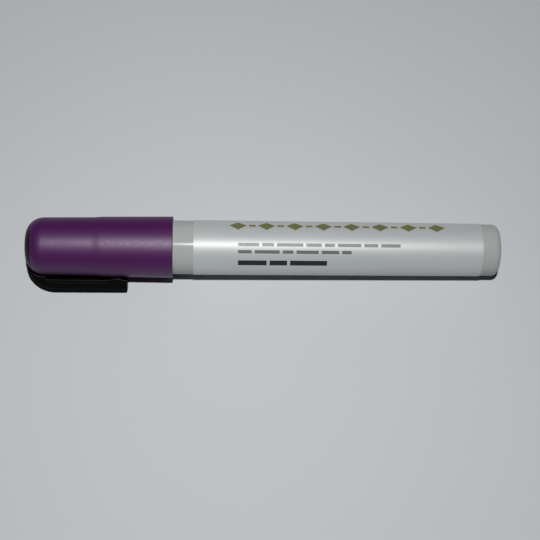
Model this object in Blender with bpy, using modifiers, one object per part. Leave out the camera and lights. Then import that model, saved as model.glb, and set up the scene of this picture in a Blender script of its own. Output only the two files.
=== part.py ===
"""Valve-action paint marker with a broad chisel nib, lying on its side with the cap on.

Every piece is modelled standing up in the pen's own frame: local z runs from the tail face (z = 0) to the
cap's end, and each turned piece spins round it. One parent empty lays the pen down, so that the tail face
looks along +X, the nib points along -X and +Z is up. The clip leans towards -Y, its lower edge just clear
of the table. Lengths are in metres.
"""

from math import acos, asin, atan2, cos, hypot, pi, radians, sin, sqrt

import bmesh
import bpy
from mathutils import Matrix, Vector

# Barrel
BARREL_LENGTH = 0.10775
BARREL_FRONT_RADIUS = 0.00811
BARREL_TAIL_RADIUS = 0.00779
BARREL_WALL = 0.0012
BARREL_FLOOR = 0.0016
TAIL_EDGE_RADIUS = 0.0022
FLOOR_FILLET = 0.0020
RIM_CHAMFER = 0.0003

# Label
LABEL_START = 0.00575
LABEL_LENGTH = 0.0865
LABEL_THICKNESS = 0.0001

# Fits
PRESS_GAP = 0.00006
SLIDE_GAP = 0.00010
CAP_GAP = 0.00015

# Front holder
PLUG_LENGTH = 0.0120
HOLDER_WALL = 0.0014
FLANGE_LENGTH = 0.0020
FLANGE_STEP = 0.0003
LAND_LENGTH = 0.0065
CONE_LENGTH = 0.0070
NOSE_LENGTH = 0.0020
NOSE_WALL = 0.0011
NOSE_LIP_RADIUS = 0.0005
GUIDE_LENGTH = 0.0060
SEAL_GROOVES = 2
SEAL_GROOVE_WIDTH = 0.0012
SEAL_GROOVE_DEPTH = 0.0004
SEAL_GROOVE_PITCH = 0.0030

# Nib
NIB_WIDTH = 0.0060
NIB_THICKNESS = 0.0045
NIB_CORNER_RADIUS = 0.0008
NIB_REACH = 0.0078
NIB_TRAVEL = 0.0020
NIB_EDGE = 0.0009
CHISEL_ANGLE = radians(45)
CHISEL_BACK_ANGLE = radians(60)

# Valve
VALVE_DEPTH = 0.0010
VALVE_WALL = 0.0011
VALVE_LENGTH = 0.0121
PORT_RADIUS = 0.0017
PORT_LENGTH = 0.0020
STEM_RADIUS = 0.0011
STEM_HEAD_RADIUS = 0.0029
STEM_HEAD_EDGE = 0.0010
STEM_END_ROOM = 0.0004
COVER_FLANGE = 0.0010
COVER_SPIGOT = 0.0013
COVER_PORTS = 4
COVER_PORT_RADIUS = 0.0008
SPRING_WIRE_RADIUS = 0.0002
SPRING_RADIUS = 0.0018
SPRING_TURNS = 6

# Mixing ball
BALL_RADIUS = 0.0030
BALL_END_ROOM = 0.0004

# Cap
CAP_OVERLAP = 0.0094
CAP_WALL = 0.00095
CAP_UPPER_WALL = 0.00115
CAP_DRAFT = 0.0118
CAP_STEP = 0.00016
CAP_STEP_START = 0.0210
CAP_STEP_LENGTH = 0.0030
CAP_END_WALL = 0.0013
SHOULDER_RADIUS = 0.0055
DOME_RADIUS = 0.0260
INNER_CAP_WALL = 0.0009
INNER_CAP_END = 0.0010
INNER_CAP_CORNER = 0.0009
INNER_CAP_AIR = 0.0003
INNER_CAP_COLLAR = 0.0020
NIB_HEADROOM = 0.0051

# Clip and the domed head that closes the cap's end
HEAD_HEIGHT = 0.0020
SPIGOT_RADIUS = 0.0026
NECK_THICKNESS = 0.00058
CLIP_LENGTH = 0.0306
CLIP_WIDTH = 0.0055
CLIP_GAP = 0.0006
CLIP_DEPTH = 0.00292
CLIP_CORNER_RADIUS = 0.0087
CLIP_TIP_RADIUS = 0.0006
CLIP_ROOT_LENGTH = 0.0062
CLIP_ROOT_GAP = 0.00015
CLIP_BEVEL = 0.0002
TABLE_GAP = 0.0003
BUMP_FROM_TIP = 0.0034
BUMP_LENGTH = 0.0044
GROOVE_WIDTH = 0.0005
GROOVE_DEPTH = 0.0006
GROOVE_FROM_EDGE = 0.0004
GROOVE_END_ROOM = 0.0005

# Faceting
BODY_SEGMENTS = 48
INNER_SEGMENTS = 36
SMALL_SEGMENTS = 24
PORT_SEGMENTS = 16
BALL_RINGS = 12
POINTS_PER_TURN = 10
CORNER_SEGMENTS = 4
BEVEL_SEGMENTS = 2
ARC_STEP = radians(15)
SHARP_ANGLE = radians(35)
MERGE = 0.000001
CUT_MARGIN = 0.0010

# Places along the pen, from the tail face
FLANGE_REAR = BARREL_LENGTH + PRESS_GAP
FLANGE_FRONT = FLANGE_REAR + FLANGE_LENGTH
LAND_FRONT = FLANGE_FRONT + LAND_LENGTH
NOSE_REAR = LAND_FRONT + CONE_LENGTH
NOSE_FRONT = NOSE_REAR + NOSE_LENGTH
NIB_TIP = NOSE_FRONT + NIB_REACH
PLUG_REAR = BARREL_LENGTH - PLUG_LENGTH
VALVE_SHOULDER = BARREL_LENGTH + VALVE_DEPTH
VALVE_FRONT = VALVE_SHOULDER - PRESS_GAP
VALVE_REAR = VALVE_FRONT - VALVE_LENGTH
SEAT_FRONT = VALVE_FRONT - PORT_LENGTH
STEM_FRONT = VALVE_FRONT + NIB_TRAVEL + STEM_END_ROOM
HEAD_CONE_SHIFT = PORT_RADIUS - PRESS_GAP * sqrt(2)
HEAD_FRONT = SEAT_FRONT + HEAD_CONE_SHIFT - STEM_RADIUS
HEAD_EDGE_FRONT = SEAT_FRONT + HEAD_CONE_SHIFT - STEM_HEAD_RADIUS
HEAD_REAR = HEAD_EDGE_FRONT - STEM_HEAD_EDGE
NIB_REAR = STEM_FRONT + PRESS_GAP
COVER_FRONT = VALVE_REAR + COVER_SPIGOT
COVER_SEAT = VALVE_REAR - PRESS_GAP
COVER_REAR = COVER_SEAT - COVER_FLANGE
STEM_REAR = (COVER_FRONT + COVER_REAR) / 2
BALL_PLACE = BARREL_FLOOR + FLOOR_FILLET + BALL_RADIUS + BALL_END_ROOM
LABEL_END = LABEL_START + LABEL_LENGTH
CAP_MOUTH = BARREL_LENGTH - CAP_OVERLAP
COLLAR_REAR = FLANGE_FRONT + SLIDE_GAP
COLLAR_FRONT = COLLAR_REAR + INNER_CAP_COLLAR
CAP_LEDGE = COLLAR_FRONT + PRESS_GAP
INNER_CAP_FLOOR = NIB_TIP + NIB_HEADROOM
INNER_CAP_FRONT = INNER_CAP_FLOOR + INNER_CAP_END
CAP_POCKET_END = INNER_CAP_FRONT + PRESS_GAP
CAP_RIM = CAP_POCKET_END + CAP_END_WALL
HEAD_SEAT = CAP_RIM + PRESS_GAP
PEN_END = CAP_RIM + HEAD_HEIGHT
DOME_CENTRE = PEN_END - DOME_RADIUS
CLIP_TIP = PEN_END - CLIP_LENGTH
CLIP_ROOT = PEN_END - CLIP_ROOT_LENGTH
BUMP_CENTRE = CLIP_TIP + BUMP_FROM_TIP

# Radii that fit one another
BORE_FRONT_RADIUS = BARREL_FRONT_RADIUS - BARREL_WALL
BORE_TAIL_RADIUS = BARREL_TAIL_RADIUS - BARREL_WALL
HOLDER_PLUG_RADIUS = BORE_FRONT_RADIUS - PRESS_GAP
HOLDER_BORE_RADIUS = HOLDER_PLUG_RADIUS - HOLDER_WALL
FLANGE_RADIUS = BARREL_FRONT_RADIUS - FLANGE_STEP
VALVE_RADIUS = HOLDER_BORE_RADIUS - PRESS_GAP
CHAMBER_RADIUS = VALVE_RADIUS - VALVE_WALL
COVER_SPIGOT_RADIUS = CHAMBER_RADIUS - PRESS_GAP
COVER_GUIDE_RADIUS = STEM_RADIUS + SLIDE_GAP
COVER_PORT_CIRCLE = (SPRING_RADIUS + SPRING_WIRE_RADIUS + COVER_SPIGOT_RADIUS) / 2
NIB_ROOM_RADIUS = hypot(NIB_WIDTH, NIB_THICKNESS) / 2 + SLIDE_GAP
NOSE_RADIUS = NIB_ROOM_RADIUS + NOSE_WALL
CAP_BORE_RADIUS = BARREL_FRONT_RADIUS + CAP_GAP
CAP_MOUTH_RADIUS = CAP_BORE_RADIUS + CAP_WALL
COLLAR_RADIUS = CAP_BORE_RADIUS - PRESS_GAP


def barrel_radius(z):
    """Outer radius of the barrel, which has a slight moulding draft towards the tail."""
    share = (z - TAIL_EDGE_RADIUS) / (BARREL_LENGTH - TAIL_EDGE_RADIUS)
    return BARREL_TAIL_RADIUS + (BARREL_FRONT_RADIUS - BARREL_TAIL_RADIUS) * share


def cap_radius(z):
    """Outer radius of the cap's side wall: a steady draft with one shallow step."""
    along = z - CAP_MOUTH
    stepped = min(max((along - CAP_STEP_START) / CAP_STEP_LENGTH, 0), 1)
    return CAP_MOUTH_RADIUS - CAP_DRAFT * along - CAP_STEP * stepped


def corner_under_dome(centre, corner, dome):
    """Height and end angle of a corner arc, centred at a radius, that runs smoothly into a dome."""
    above_dome_centre = sqrt((dome - corner) ** 2 - centre**2)
    return DOME_CENTRE + above_dome_centre, atan2(above_dome_centre, centre)


# The cap's rounded shoulder, which the head carries on to the dome, and the pieces inside the wall
SHOULDER_SIDE_RADIUS = cap_radius(PEN_END - SHOULDER_RADIUS)
SHOULDER_CENTRE = SHOULDER_SIDE_RADIUS - SHOULDER_RADIUS
SHOULDER_START, SHOULDER_END_ANGLE = corner_under_dome(SHOULDER_CENTRE, SHOULDER_RADIUS, DOME_RADIUS)
RIM_ANGLE = asin((CAP_RIM - SHOULDER_START) / SHOULDER_RADIUS)
HEAD_EDGE_ANGLE = asin((HEAD_SEAT - SHOULDER_START) / SHOULDER_RADIUS)
CAP_POCKET_RADIUS = SHOULDER_SIDE_RADIUS - CAP_UPPER_WALL
INNER_CAP_RADIUS = CAP_POCKET_RADIUS - INNER_CAP_AIR
INNER_CAP_BORE = INNER_CAP_RADIUS - INNER_CAP_WALL
LAND_RADIUS = INNER_CAP_BORE - SLIDE_GAP

# The clip stands clear of the cap, and leans over until its lower edge is just clear of the table, which
# touches the cap's mouth and the tail end of the label
CLIP_INNER_RADIUS = cap_radius(CLIP_TIP) + CLIP_GAP
CLIP_OUTER_RADIUS = CLIP_INNER_RADIUS + CLIP_DEPTH
ROOT_INNER_RADIUS = cap_radius(CLIP_ROOT) + CLIP_ROOT_GAP
ROOT_FILLET = CLIP_INNER_RADIUS - ROOT_INNER_RADIUS
BUMP_HEIGHT = CLIP_INNER_RADIUS - cap_radius(BUMP_CENTRE) - CLIP_ROOT_GAP
LABEL_TAIL_RADIUS = barrel_radius(LABEL_START) + PRESS_GAP + LABEL_THICKNESS
TABLE_SLOPE = (CAP_MOUTH_RADIUS - LABEL_TAIL_RADIUS) / (CAP_MOUTH - LABEL_START)
TABLE_DEPTH = CAP_MOUTH_RADIUS + TABLE_SLOPE * (CLIP_TIP - CAP_MOUTH)
CLIP_EDGE_RADIUS = CLIP_OUTER_RADIUS - CLIP_BEVEL
CLIP_EDGE_SIDE = CLIP_WIDTH / 2 - CLIP_BEVEL
CLIP_EDGE_REACH = hypot(CLIP_EDGE_RADIUS, CLIP_EDGE_SIDE)
CLIP_EDGE_DEPTH = TABLE_DEPTH - TABLE_GAP - CLIP_BEVEL
CLIP_LEAN = asin(CLIP_EDGE_DEPTH / CLIP_EDGE_REACH) - atan2(CLIP_EDGE_SIDE, CLIP_EDGE_RADIUS)


def arc(centre, radius, start, end):
    """Points of an arc in a (radius, height) plane, from the start angle to the end angle."""
    steps = max(2, round(abs(end - start) / ARC_STEP))
    points = []
    for i in range(steps + 1):
        angle = start + (end - start) * i / steps
        points.append((centre[0] + radius * cos(angle), centre[1] + radius * sin(angle)))
    return points


def new_collection(name):
    made = bpy.data.collections.new(name)
    bpy.context.scene.collection.children.link(made)
    return made


def new_empty(name, group, turn):
    made = bpy.data.objects.new(name, None)
    made.rotation_euler = turn
    group.objects.link(made)
    return made


def new_material(name, colour, roughness, metallic=0.0):
    """A plain material in a piece's colour."""
    made = bpy.data.materials.new(name)
    made.use_nodes = True
    shader = made.node_tree.nodes["Principled BSDF"]
    shader.inputs["Base Color"].default_value = (*colour, 1.0)
    shader.inputs["Roughness"].default_value = roughness
    shader.inputs["Metallic"].default_value = metallic
    return made


def put(name, data, group):
    """A new object on the pen's axis, in the group."""
    made = bpy.data.objects.new(name, data)
    group.objects.link(made)
    made.parent = pen_axis
    return made


def apply_modifiers(piece):
    bpy.context.view_layer.update()
    mesh = bpy.data.meshes.new_from_object(piece.evaluated_get(bpy.context.evaluated_depsgraph_get()))
    old = piece.data
    piece.modifiers.clear()
    piece.data = mesh
    bpy.data.meshes.remove(old)


def bmesh_piece(name, shape, group):
    """An object from a finished bmesh."""
    mesh = bpy.data.meshes.new(name)
    shape.to_mesh(mesh)
    shape.free()
    return put(name, mesh, group)


def turned(name, profile, segments, group):
    """A piece turned round the pen's axis.

    The profile of (radius, height) points runs down the outer side and back up the bore. It closes on itself,
    apart from stretches along the axis, which need no face.
    """
    mesh = bpy.data.meshes.new(name)
    count = len(profile)
    edges = [(i, (i + 1) % count) for i in range(count)]
    edges = [(i, j) for i, j in edges if profile[i][0] or profile[j][0]]
    mesh.from_pydata([(radius, 0, height) for radius, height in profile], edges, [])
    piece = put(name, mesh, group)
    screw = piece.modifiers.new("turn", "SCREW")
    screw.axis = "Z"
    screw.steps = segments
    screw.render_steps = segments
    screw.use_merge_vertices = True
    screw.merge_threshold = MERGE
    apply_modifiers(piece)
    return piece


def outline_solid(name, outline, thickness, group):
    """A closed outline of (x, z) points, made solid to the thickness across y."""
    shape = bmesh.new()
    corners = [shape.verts.new((across, -thickness / 2, up)) for across, up in outline]
    side = shape.faces.new(corners)
    pushed = bmesh.ops.extrude_face_region(shape, geom=[side])
    far_corners = [item for item in pushed["geom"] if isinstance(item, bmesh.types.BMVert)]
    bmesh.ops.translate(shape, vec=(0, thickness, 0), verts=far_corners)
    bmesh.ops.remove_doubles(shape, verts=shape.verts, dist=MERGE)
    bmesh.ops.recalc_face_normals(shape, faces=shape.faces)
    return bmesh_piece(name, shape, group)


def rounded_bar(name, depth, width, corner, low, high, group):
    """A bar along the pen with a rounded rectangular section: depth along x, width along y."""
    shape = bmesh.new()
    bmesh.ops.create_cube(shape, size=1)
    bmesh.ops.scale(shape, vec=(depth, width, high - low), verts=shape.verts)
    bmesh.ops.translate(shape, vec=(0, 0, (low + high) / 2), verts=shape.verts)
    upright = [edge for edge in shape.edges if edge.verts[0].co.z != edge.verts[1].co.z]
    bmesh.ops.bevel(
        shape, geom=upright, offset=corner, segments=CORNER_SEGMENTS, profile=0.5, affect="EDGES"
    )
    return bmesh_piece(name, shape, group)


def cylinder(name, radius, low, high, place, group):
    """A cylinder along the pen at an (x, y) place."""
    shape = bmesh.new()
    bmesh.ops.create_cone(
        shape,
        cap_ends=True,
        segments=PORT_SEGMENTS,
        radius1=radius,
        radius2=radius,
        depth=high - low,
        matrix=Matrix.Translation((*place, (low + high) / 2)),
    )
    return bmesh_piece(name, shape, group)


def combine(piece, tool, operation):
    """Cuts a tool out of the piece, or joins it on. The tool is kept as a hidden wire shape."""
    step = piece.modifiers.new(tool.name, "BOOLEAN")
    step.operation = operation
    step.object = tool
    step.solver = "EXACT"
    apply_modifiers(piece)
    tool.hide_render = True
    tool.display_type = "WIRE"


def complete(piece, material):
    """Gives a finished piece its material and its shading: smooth, except across its edges."""
    piece.data.name = piece.name
    piece.data.materials.clear()
    piece.data.materials.append(material)
    piece.data.shade_smooth()
    piece.data.set_sharp_from_angle(angle=SHARP_ANGLE)


def make_barrel(material):
    """A drafted tube, closed and rounded at the tail, its bore parallel where the front holder plugs in."""
    tail_centre = (BARREL_TAIL_RADIUS - TAIL_EDGE_RADIUS, TAIL_EDGE_RADIUS)
    floor_centre = (BORE_TAIL_RADIUS - FLOOR_FILLET, BARREL_FLOOR + FLOOR_FILLET)
    profile = [
        (BARREL_FRONT_RADIUS - RIM_CHAMFER, BARREL_LENGTH),
        (BARREL_FRONT_RADIUS, BARREL_LENGTH - RIM_CHAMFER),
        *arc(tail_centre, TAIL_EDGE_RADIUS, 0, -pi / 2),
        (0, 0),
        (0, BARREL_FLOOR),
        *arc(floor_centre, FLOOR_FILLET, -pi / 2, 0),
        (BORE_FRONT_RADIUS, PLUG_REAR),
        (BORE_FRONT_RADIUS, BARREL_LENGTH),
    ]
    complete(turned("barrel", profile, BODY_SEGMENTS, parts), material)


def make_label(material):
    """A thin sleeve of film, wrapped on the drafted barrel."""
    front_radius = barrel_radius(LABEL_END) + PRESS_GAP
    tail_radius = barrel_radius(LABEL_START) + PRESS_GAP
    profile = [
        (front_radius + LABEL_THICKNESS, LABEL_END),
        (tail_radius + LABEL_THICKNESS, LABEL_START),
        (tail_radius, LABEL_START),
        (front_radius, LABEL_END),
    ]
    complete(turned("label", profile, BODY_SEGMENTS, parts), material)


def make_front_holder(material):
    """The nose section: a grooved plug, a flange on the barrel, a seal land, a cone and the nib's guide."""
    lip_centre = (NOSE_RADIUS - NOSE_LIP_RADIUS, NOSE_FRONT - NOSE_LIP_RADIUS)
    profile = [
        (0, NOSE_FRONT),
        *arc(lip_centre, NOSE_LIP_RADIUS, pi / 2, 0),
        (NOSE_RADIUS, NOSE_REAR),
        (LAND_RADIUS, LAND_FRONT),
        (LAND_RADIUS, FLANGE_FRONT),
        (FLANGE_RADIUS - RIM_CHAMFER, FLANGE_FRONT),
        (FLANGE_RADIUS, FLANGE_FRONT - RIM_CHAMFER),
        (FLANGE_RADIUS, FLANGE_REAR),
        (HOLDER_PLUG_RADIUS, FLANGE_REAR),
    ]
    floor = HOLDER_PLUG_RADIUS - SEAL_GROOVE_DEPTH
    for i in range(SEAL_GROOVES):
        top = BARREL_LENGTH - SEAL_GROOVE_PITCH * (i + 1) + SEAL_GROOVE_WIDTH / 2
        bottom = top - SEAL_GROOVE_WIDTH
        profile += [(HOLDER_PLUG_RADIUS, top), (floor, top), (floor, bottom), (HOLDER_PLUG_RADIUS, bottom)]
    guide_rear = NOSE_FRONT - GUIDE_LENGTH
    profile += [
        (HOLDER_PLUG_RADIUS, PLUG_REAR + RIM_CHAMFER),
        (HOLDER_PLUG_RADIUS - RIM_CHAMFER, PLUG_REAR),
        (HOLDER_BORE_RADIUS, PLUG_REAR),
        (HOLDER_BORE_RADIUS, VALVE_SHOULDER),
        (NIB_ROOM_RADIUS, VALVE_SHOULDER),
        (NIB_ROOM_RADIUS, guide_rear),
        (0, guide_rear),
    ]
    holder = turned("front_holder", profile, INNER_SEGMENTS, parts)
    channel = rounded_bar(
        "nib_channel",
        NIB_THICKNESS + 2 * SLIDE_GAP,
        NIB_WIDTH + 2 * SLIDE_GAP,
        NIB_CORNER_RADIUS + SLIDE_GAP,
        guide_rear - CUT_MARGIN,
        NOSE_FRONT + CUT_MARGIN,
        cutters,
    )
    combine(holder, channel, "DIFFERENCE")
    complete(holder, material)


def make_nib(material):
    """A fibre bar with a chisel end: a long slope and a short back bevel meet at the writing edge."""
    nib = rounded_bar("nib", NIB_THICKNESS, NIB_WIDTH, NIB_CORNER_RADIUS, NIB_REAR, NIB_TIP, parts)
    edge_place = Vector((NIB_EDGE - NIB_THICKNESS / 2, 0, NIB_TIP))
    slope = Vector((cos(CHISEL_ANGLE), 0, sin(CHISEL_ANGLE)))
    back_bevel = Vector((-cos(CHISEL_BACK_ANGLE), 0, sin(CHISEL_BACK_ANGLE)))
    shape = bmesh.new()
    shape.from_mesh(nib.data)
    for normal in (slope, back_bevel):
        everything = [*shape.verts, *shape.edges, *shape.faces]
        bmesh.ops.bisect_plane(
            shape, geom=everything, dist=MERGE, plane_co=edge_place, plane_no=normal, clear_outer=True
        )
        bmesh.ops.holes_fill(shape, edges=shape.edges)
    bmesh.ops.recalc_face_normals(shape, faces=shape.faces)
    shape.to_mesh(nib.data)
    shape.free()
    complete(nib, material)


def make_valve_body(material):
    """A cup with a port and a conical seat at its front."""
    profile = [
        (PORT_RADIUS, VALVE_FRONT),
        (VALVE_RADIUS, VALVE_FRONT),
        (VALVE_RADIUS, VALVE_REAR),
        (CHAMBER_RADIUS, VALVE_REAR),
        (CHAMBER_RADIUS, SEAT_FRONT + PORT_RADIUS - CHAMBER_RADIUS),
        (PORT_RADIUS, SEAT_FRONT),
    ]
    complete(turned("valve_body", profile, INNER_SEGMENTS, parts), material)


def make_valve_stem(material):
    """A plunger: a rod to the nib, a conical head on the seat and a rod through the spring to the cover."""
    profile = [
        (0, STEM_FRONT),
        (STEM_RADIUS - RIM_CHAMFER, STEM_FRONT),
        (STEM_RADIUS, STEM_FRONT - RIM_CHAMFER),
        (STEM_RADIUS, HEAD_FRONT),
        (STEM_HEAD_RADIUS, HEAD_EDGE_FRONT),
        (STEM_HEAD_RADIUS, HEAD_REAR),
        (STEM_RADIUS, HEAD_REAR),
        (STEM_RADIUS, STEM_REAR + RIM_CHAMFER),
        (STEM_RADIUS - RIM_CHAMFER, STEM_REAR),
        (0, STEM_REAR),
    ]
    complete(turned("valve_stem", profile, SMALL_SEGMENTS, parts), material)


def make_valve_cover(material):
    """A stepped plate that holds the spring, with a guide hole for the stem and a ring of ink ports."""
    profile = [
        (COVER_GUIDE_RADIUS, COVER_FRONT),
        (COVER_SPIGOT_RADIUS, COVER_FRONT),
        (COVER_SPIGOT_RADIUS, COVER_SEAT),
        (VALVE_RADIUS, COVER_SEAT),
        (VALVE_RADIUS, COVER_REAR),
        (COVER_GUIDE_RADIUS, COVER_REAR),
    ]
    cover = turned("valve_cover", profile, INNER_SEGMENTS, parts)
    for i in range(COVER_PORTS):
        angle = 2 * pi * (i + 0.5) / COVER_PORTS
        place = (COVER_PORT_CIRCLE * cos(angle), COVER_PORT_CIRCLE * sin(angle))
        port = cylinder(
            f"ink_port_{i + 1}",
            COVER_PORT_RADIUS,
            COVER_REAR - CUT_MARGIN,
            COVER_FRONT + CUT_MARGIN,
            place,
            cutters,
        )
        combine(cover, port, "DIFFERENCE")
    complete(cover, material)


def make_valve_spring(material):
    """A coil of round wire between the cover and the stem's head."""
    low = COVER_FRONT + PRESS_GAP + SPRING_WIRE_RADIUS
    high = HEAD_REAR - PRESS_GAP - SPRING_WIRE_RADIUS
    count = SPRING_TURNS * POINTS_PER_TURN
    points = []
    for i in range(count + 1):
        angle = 2 * pi * i / POINTS_PER_TURN
        height = low + (high - low) * i / count
        points.append(Vector((SPRING_RADIUS * cos(angle), SPRING_RADIUS * sin(angle), height)))
    curve = bpy.data.curves.new("valve_spring", "CURVE")
    curve.dimensions = "3D"
    curve.bevel_depth = SPRING_WIRE_RADIUS
    curve.bevel_resolution = 1
    curve.use_fill_caps = True
    spline = curve.splines.new("POLY")
    spline.points.add(count)
    for point, place in zip(spline.points, points):
        point.co = (*place, 1)
    curve.materials.append(material)
    put("valve_spring", curve, parts)
    half_turn = POINTS_PER_TURN // 2
    apart = min((b - a).length for i, a in enumerate(points) for b in points[i + half_turn :])
    print(f"valve_spring: least gap to itself {(apart - 2 * SPRING_WIRE_RADIUS) * 1000:.2f} mm")


def make_mixing_ball(material):
    """A loose ball that lies on the lowest line of the bore, at the tail."""
    shape = bmesh.new()
    bmesh.ops.create_uvsphere(shape, u_segments=SMALL_SEGMENTS, v_segments=BALL_RINGS, radius=BALL_RADIUS)
    ball = bmesh_piece("mixing_ball", shape, parts)
    ball.location = (BALL_RADIUS + SLIDE_GAP - BORE_TAIL_RADIUS, 0, BALL_PLACE)
    complete(ball, material)


def make_cap_shell(material):
    """The outer cap: drafted, with a shallow step and a rounded shoulder, cut flat where the head sits."""
    pocket_corner = (CAP_POCKET_RADIUS - INNER_CAP_CORNER, CAP_POCKET_END - INNER_CAP_CORNER)
    spigot_hole = SPIGOT_RADIUS + PRESS_GAP
    step_ends = [CAP_MOUTH + CAP_STEP_START + CAP_STEP_LENGTH, CAP_MOUTH + CAP_STEP_START]
    profile = [
        *arc((SHOULDER_CENTRE, SHOULDER_START), SHOULDER_RADIUS, RIM_ANGLE, 0),
        *[(cap_radius(height), height) for height in step_ends],
        (CAP_MOUTH_RADIUS, CAP_MOUTH + RIM_CHAMFER),
        (CAP_MOUTH_RADIUS - RIM_CHAMFER, CAP_MOUTH),
        (CAP_BORE_RADIUS + RIM_CHAMFER, CAP_MOUTH),
        (CAP_BORE_RADIUS, CAP_MOUTH + RIM_CHAMFER),
        (CAP_BORE_RADIUS, CAP_LEDGE),
        (cap_radius(CAP_LEDGE) - CAP_UPPER_WALL, CAP_LEDGE),
        *arc(pocket_corner, INNER_CAP_CORNER, 0, pi / 2),
        (spigot_hole, CAP_POCKET_END),
        (spigot_hole, CAP_RIM),
    ]
    complete(turned("cap_shell", profile, BODY_SEGMENTS, parts), material)


def make_inner_cap(material):
    """The liner: a cup that slides over the seal land, held by a collar against the shell's ledge."""
    outer_corner = (INNER_CAP_RADIUS - INNER_CAP_CORNER, INNER_CAP_FRONT - INNER_CAP_CORNER)
    inner_corner = (INNER_CAP_BORE - INNER_CAP_CORNER, INNER_CAP_FLOOR - INNER_CAP_CORNER)
    profile = [
        (0, INNER_CAP_FRONT),
        *arc(outer_corner, INNER_CAP_CORNER, pi / 2, 0),
        (INNER_CAP_RADIUS, COLLAR_FRONT),
        (COLLAR_RADIUS, COLLAR_FRONT),
        (COLLAR_RADIUS, COLLAR_REAR),
        (INNER_CAP_BORE + RIM_CHAMFER, COLLAR_REAR),
        (INNER_CAP_BORE, COLLAR_REAR + RIM_CHAMFER),
        *arc(inner_corner, INNER_CAP_CORNER, 0, pi / 2),
        (0, INNER_CAP_FLOOR),
    ]
    complete(turned("inner_cap", profile, INNER_SEGMENTS, parts), material)


def clip_outline():
    """The clip seen from its side, from the dome over the cap's shoulder, along the arm and back.

    The outer corner keeps the neck's thickness where it passes the edge of the cap's shoulder.
    """
    over_shoulder = SHOULDER_RADIUS + CLIP_ROOT_GAP
    neck_underside = arc((SHOULDER_CENTRE, SHOULDER_START), over_shoulder, 0, RIM_ANGLE)
    rim_radius, rim_height = neck_underside[-1]
    corner_radius = CLIP_OUTER_RADIUS - CLIP_CORNER_RADIUS
    corner_reach = CLIP_CORNER_RADIUS - NECK_THICKNESS
    corner_start = rim_height - sqrt(corner_reach**2 - (rim_radius - corner_radius) ** 2)
    corner_angle = atan2(corner_start - DOME_CENTRE, corner_radius)
    neck_dome = CLIP_CORNER_RADIUS + hypot(corner_radius, corner_start - DOME_CENTRE)
    root_angle = acos(SPIGOT_RADIUS / neck_dome)
    tip_centre = (CLIP_OUTER_RADIUS - CLIP_TIP_RADIUS, CLIP_TIP + CLIP_TIP_RADIUS)
    half_bump = BUMP_LENGTH / 2
    bump_radius = (half_bump**2 + BUMP_HEIGHT**2) / (2 * BUMP_HEIGHT)
    bump_centre = (CLIP_INNER_RADIUS - BUMP_HEIGHT + bump_radius, BUMP_CENTRE)
    bump_sweep = atan2(half_bump, bump_radius - BUMP_HEIGHT)
    fillet_centre = (ROOT_INNER_RADIUS, CLIP_ROOT - ROOT_FILLET)
    return [
        *arc((0, DOME_CENTRE), neck_dome, root_angle, corner_angle)[:-1],
        *arc((corner_radius, corner_start), CLIP_CORNER_RADIUS, corner_angle, 0),
        *arc(tip_centre, CLIP_TIP_RADIUS, 0, -pi / 2),
        (CLIP_INNER_RADIUS, CLIP_TIP),
        *arc(bump_centre, bump_radius, pi + bump_sweep, pi - bump_sweep),
        *arc(fillet_centre, ROOT_FILLET, 0, pi / 2),
        *neck_underside,
        (SPIGOT_RADIUS, rim_height),
    ]


def groove_outline():
    """The groove along each side of the clip's arm: a slot with round ends."""
    radius = GROOVE_WIDTH / 2
    middle = CLIP_INNER_RADIUS + GROOVE_FROM_EDGE + radius
    low = BUMP_CENTRE + BUMP_LENGTH / 2 + radius
    high = CLIP_ROOT - GROOVE_END_ROOM - radius
    return arc((middle, high), radius, 0, pi) + arc((middle, low), radius, pi, 2 * pi)


def make_clip(material):
    """The clip and the domed head that closes the cap's end, moulded in one piece."""
    profile = [
        (0, PEN_END),
        *arc((0, DOME_CENTRE), DOME_RADIUS, pi / 2, SHOULDER_END_ANGLE)[1:-1],
        *arc((SHOULDER_CENTRE, SHOULDER_START), SHOULDER_RADIUS, SHOULDER_END_ANGLE, HEAD_EDGE_ANGLE),
        (SPIGOT_RADIUS, HEAD_SEAT),
        (SPIGOT_RADIUS, CAP_POCKET_END + PRESS_GAP),
        (0, CAP_POCKET_END + PRESS_GAP),
    ]
    clip = turned("clip", profile, BODY_SEGMENTS, parts)
    arm = outline_solid("clip_arm", clip_outline(), CLIP_WIDTH, cutters)
    bevel = arm.modifiers.new("edges", "BEVEL")
    bevel.width = CLIP_BEVEL
    bevel.segments = BEVEL_SEGMENTS
    bevel.limit_method = "ANGLE"
    bevel.angle_limit = SHARP_ANGLE
    apply_modifiers(arm)
    combine(clip, arm, "UNION")
    for side in (-1, 1):
        groove = outline_solid(f"groove_{side + 2}", groove_outline(), GROOVE_DEPTH + CUT_MARGIN, cutters)
        groove.location.y = side * (CLIP_WIDTH - GROOVE_DEPTH + CUT_MARGIN) / 2
        combine(clip, groove, "DIFFERENCE")
    clip.rotation_euler.z = -(pi / 2 + CLIP_LEAN)
    complete(clip, material)


for old_object in list(bpy.data.objects):
    bpy.data.objects.remove(old_object)
parts = new_collection("chisel_paint_marker")
cutters = new_collection("cutters")
pen_axis = new_empty("pen_axis", parts, (0, -pi / 2, 0))

barrel_grey = new_material("barrel_grey", (0.40, 0.41, 0.38), 0.30)
label_film = new_material("label_film", (0.72, 0.73, 0.75), 0.35)
cap_violet = new_material("cap_violet", (0.065, 0.012, 0.075), 0.38)
clip_black = new_material("clip_black", (0.010, 0.010, 0.011), 0.25)
holder_black = new_material("holder_black", (0.016, 0.016, 0.017), 0.40)
fibre_white = new_material("fibre_white", (0.80, 0.78, 0.73), 0.90)
natural_plastic = new_material("natural_plastic", (0.75, 0.75, 0.72), 0.45)
bright_steel = new_material("bright_steel", (0.60, 0.60, 0.61), 0.22, metallic=1.0)

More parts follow.
